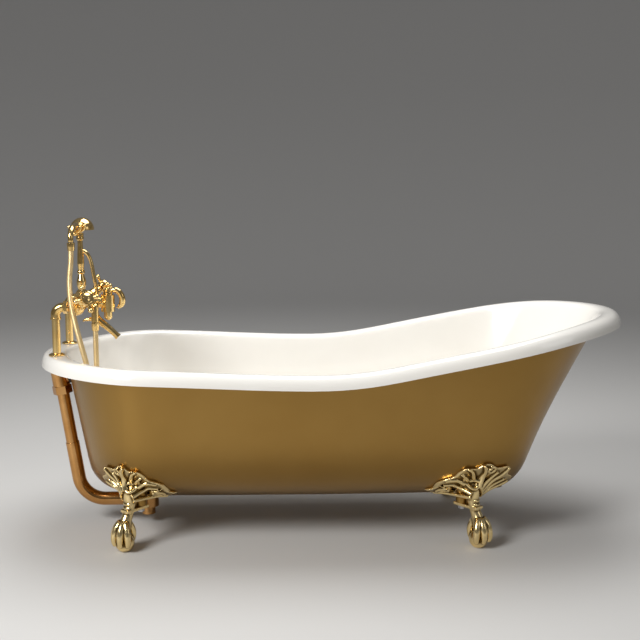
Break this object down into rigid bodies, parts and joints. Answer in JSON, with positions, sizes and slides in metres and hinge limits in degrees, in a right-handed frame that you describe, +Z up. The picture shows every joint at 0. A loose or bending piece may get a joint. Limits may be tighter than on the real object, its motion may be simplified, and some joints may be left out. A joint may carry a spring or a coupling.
{
  "type": "cast iron slipper bathtub",
  "caption": "Gold slipper bathtub of cast iron with white enamel inside, on claw feet, with a deck tap, hand shower and exposed waste.",
  "frame": {"origin": "on the floor under the middle of the bath", "axes": "+X to the raised slipper end, +Y away from the side in the picture, +Z up"},
  "size_m": [1.6933, 0.7428, 0.9107],
  "materials": {
    "gold_paint": "satin metallic gold paint over cast iron",
    "white_enamel": "gloss",
    "polished_gold": "polished",
    "gold_iron": "polished gold plating",
    "copper_brass": "polished",
    "hose_gold": "matte gold cover",
    "black_rubber": "matte",
    "zinc_steel": "plain"
  },
  "bodies": {
    "bath": {"cold_bonnet": "polished_gold", "cold_deck_washer": "black_rubber", "cold_elbow": "polished_gold", "cold_lock_nut": "polished_gold", "cold_riser_flange": "polished_gold", "cold_riser_pipe": "polished_gold", "cold_union_nut": "polished_gold", "column_brace": "polished_gold", "diverter_bonnet": "polished_gold", "drain_flange": "polished_gold", "drain_gasket": "black_rubber", "drain_shoe": "copper_brass", "enamel_lining": "white_enamel", "foot_nuts": "zinc_steel", "foot_studs": "zinc_steel", "foot_washers": "zinc_steel", "hose_bottom_nut": "polished_gold", "hose_bottom_washer": "black_rubber", "hot_bonnet": "polished_gold", "hot_deck_washer": "black_rubber", "hot_elbow": "polished_gold", "hot_lock_nut": "polished_gold", "hot_riser_flange": "polished_gold", "hot_riser_pipe": "polished_gold", "hot_union_nut": "polished_gold", "overflow_coupling_nut": "copper_brass", "overflow_elbow": "copper_brass", "overflow_gasket": "black_rubber", "overflow_plate": "polished_gold", "overflow_screw": "polished_gold", "overflow_tube": "copper_brass", "shoe_coupling_nut": "copper_brass", "shower_column": "polished_gold", "shower_cradle": "polished_gold", "shower_hose": "hose_gold", "slipper_far_foot": "gold_iron", "slipper_near_foot": "gold_iron", "spout": "polished_gold", "spout_ring": "polished_gold", "tap_body": "polished_gold", "tap_far_foot": "gold_iron", "tap_near_foot": "gold_iron", "tub_shell": "gold_paint", "waste_bend": "copper_brass"},
    "hot_handle": {"hot_handle": "polished_gold", "hot_spindle": "polished_gold", "hot_cap": "polished_gold"},
    "cold_handle": {"cold_handle": "polished_gold", "cold_spindle": "polished_gold", "cold_cap": "polished_gold"},
    "diverter": {"diverter_lever": "polished_gold", "diverter_spindle": "polished_gold", "diverter_finial": "polished_gold"},
    "handset": {"hand_shower": "polished_gold", "rose_plate": "polished_gold", "hose_top_nut": "polished_gold", "hose_top_washer": "black_rubber"},
    "stopper": {"drain_stopper": "polished_gold"}
  },
  "joints": [
    {"name": "hot_handle_turn", "type": "hinge", "parent": "bath", "child": "hot_handle", "pos_m": [-0.728, -0.102, 0.668], "axis": [0.5507, -0.721, 0.4206], "range_deg": [0, 90]},
    {"name": "cold_handle_turn", "type": "hinge", "parent": "bath", "child": "cold_handle", "pos_m": [-0.728, 0.102, 0.668], "axis": [0.5507, 0.721, 0.4206], "range_deg": [-90, 0]},
    {"name": "diverter_turn", "type": "hinge", "parent": "bath", "child": "diverter", "pos_m": [-0.653, 0, 0.69], "axis": [0, 0, 1], "range_deg": [0, 90]},
    {"name": "handset_lift", "type": "slide", "parent": "bath", "child": "handset", "axis": [0, 0, 1], "range_m": [0, 0.06], "deforming": ["shower_hose"]},
    {"name": "stopper_lift", "type": "slide", "parent": "bath", "child": "stopper", "axis": [0, 0, 1], "range_m": [0, 0.008]}
  ]
}
